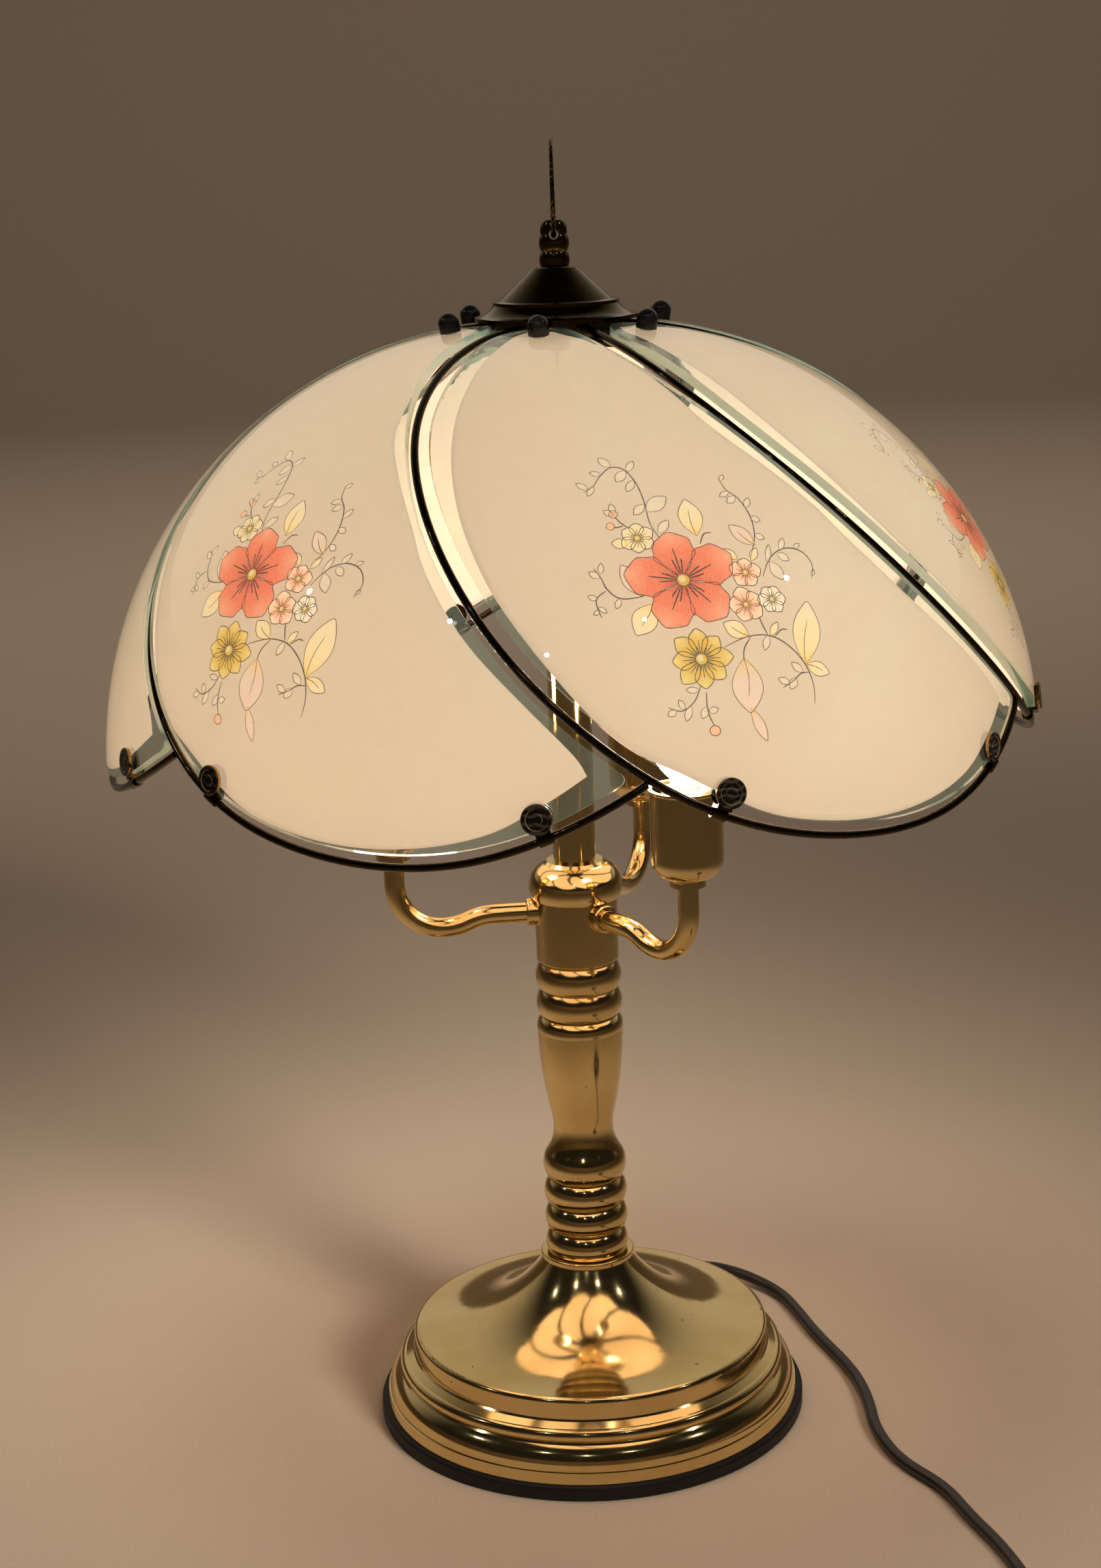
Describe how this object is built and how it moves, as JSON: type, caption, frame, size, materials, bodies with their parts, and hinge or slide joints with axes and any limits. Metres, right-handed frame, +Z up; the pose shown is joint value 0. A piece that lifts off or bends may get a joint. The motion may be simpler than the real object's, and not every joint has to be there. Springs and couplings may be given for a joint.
{
  "type": "table lamp",
  "caption": "Table lamp with a round dished brass base, turned column, curved candle arms and a petal shade of bent glass panes in bronze wires under a cap with a finial ring.",
  "frame": {"origin": "middle of the base's underside, on the surface that the lamp stands on", "axes": "+Z up the column to the finial; -Y is the lamp's front and +X its right seen from the front"},
  "size_m": [0.468, 0.4863, 0.5852],
  "materials": {
    "polished_brass": "polished and lacquered brass with soft age marks",
    "black_rubber": "matt black rubber",
    "cast_iron": "rough grey casting",
    "zinc_steel": "bright zinc-plated steel",
    "black_plastic": "matt black moulded plastic",
    "dark_bronze": "dark antique bronze, rubbed brighter on its edges",
    "black_enamel": "smooth gloss black enamel",
    "shade_glass": null,
    "bulb_glass": "thin frosted bulb glass",
    "nickel_cap": "nickel-plated screw cap",
    "socket_plastic": "cream moulded socket",
    "cord_sheath": "glossy dark brown-black flexible sheath",
    "plug_plastic": "black moulded plug",
    "plug_blade": "plain brass blades"
  },
  "bodies": {
    "lamp": {"arm_body": "polished_brass", "arm_rosettes": "polished_brass", "arm_tube_1": "polished_brass", "arm_tube_2": "polished_brass", "arm_tube_3": "polished_brass", "base_shell": "polished_brass", "body_cap": "polished_brass", "cup_collars": "polished_brass", "foot_collar": "polished_brass", "lower_spindle": "polished_brass", "socket_cup_1": "polished_brass", "socket_cup_2": "polished_brass", "socket_cup_3": "polished_brass", "stem_tube": "polished_brass", "upper_spindle": "polished_brass", "vase_spindle": "polished_brass", "edge_ring": "black_rubber", "base_weight": "cast_iron", "bottom_plate": "zinc_steel", "touch_module": "black_plastic", "cord_bushing": "cord_sheath", "threaded_rod": "zinc_steel", "rod_nut": "zinc_steel", "rod_washer": "zinc_steel", "arm_nuts": "zinc_steel", "socket_1": "socket_plastic", "socket_2": "socket_plastic", "socket_3": "socket_plastic", "cord": "cord_sheath", "cord_coil": "cord_sheath", "plug": "plug_plastic", "plug_blades": "plug_blade"},
    "shade": {"shade_hub": "dark_bronze", "petal_wire_1": "dark_bronze", "petal_wire_2": "dark_bronze", "petal_wire_3": "dark_bronze", "petal_wire_4": "dark_bronze", "petal_wire_5": "dark_bronze", "petal_wire_6": "dark_bronze", "glass_panel_1": "shade_glass", "glass_panel_2": "shade_glass", "glass_panel_3": "shade_glass", "glass_panel_4": "shade_glass", "glass_panel_5": "shade_glass", "glass_panel_6": "shade_glass", "clip_medallions": "dark_bronze", "clip_straps": "dark_bronze", "panel_screws": "zinc_steel", "acorn_nuts": "black_enamel", "panel_pads": "black_rubber", "shade_cap": "dark_bronze"},
    "finial": {"finial_knob": "dark_bronze"},
    "ring": {"finial_ring": "dark_bronze"},
    "bulb_1": {"bulb_glass_1": "bulb_glass", "bulb_cap_1": "nickel_cap"},
    "bulb_2": {"bulb_glass_2": "bulb_glass", "bulb_cap_2": "nickel_cap"},
    "bulb_3": {"bulb_glass_3": "bulb_glass", "bulb_cap_3": "nickel_cap"}
  },
  "joints": [
    {"name": "shade_turn", "type": "hinge", "parent": "lamp", "child": "shade", "pos_m": [0, 0, 0.5], "axis": [0, 0, 1], "continuous": true},
    {"name": "finial_turn", "type": "hinge", "parent": "lamp", "child": "finial", "pos_m": [0, 0, 0.54], "axis": [0, 0, 1], "continuous": true},
    {"name": "ring_swing", "type": "hinge", "parent": "finial", "child": "ring", "pos_m": [0, 0, 0.5445], "axis": [0, 1, 0], "range_deg": [-110, 110]},
    {"name": "bulb_1_turn", "type": "hinge", "parent": "lamp", "child": "bulb_1", "pos_m": [0.0482, -0.06634, 0.317], "axis": [0, 0, 1], "continuous": true},
    {"name": "bulb_2_turn", "type": "hinge", "parent": "lamp", "child": "bulb_2", "pos_m": [0.03335, 0.07491, 0.317], "axis": [0, 0, 1], "continuous": true},
    {"name": "bulb_3_turn", "type": "hinge", "parent": "lamp", "child": "bulb_3", "pos_m": [-0.08155, -0.00857, 0.317], "axis": [0, 0, 1], "continuous": true}
  ]
}
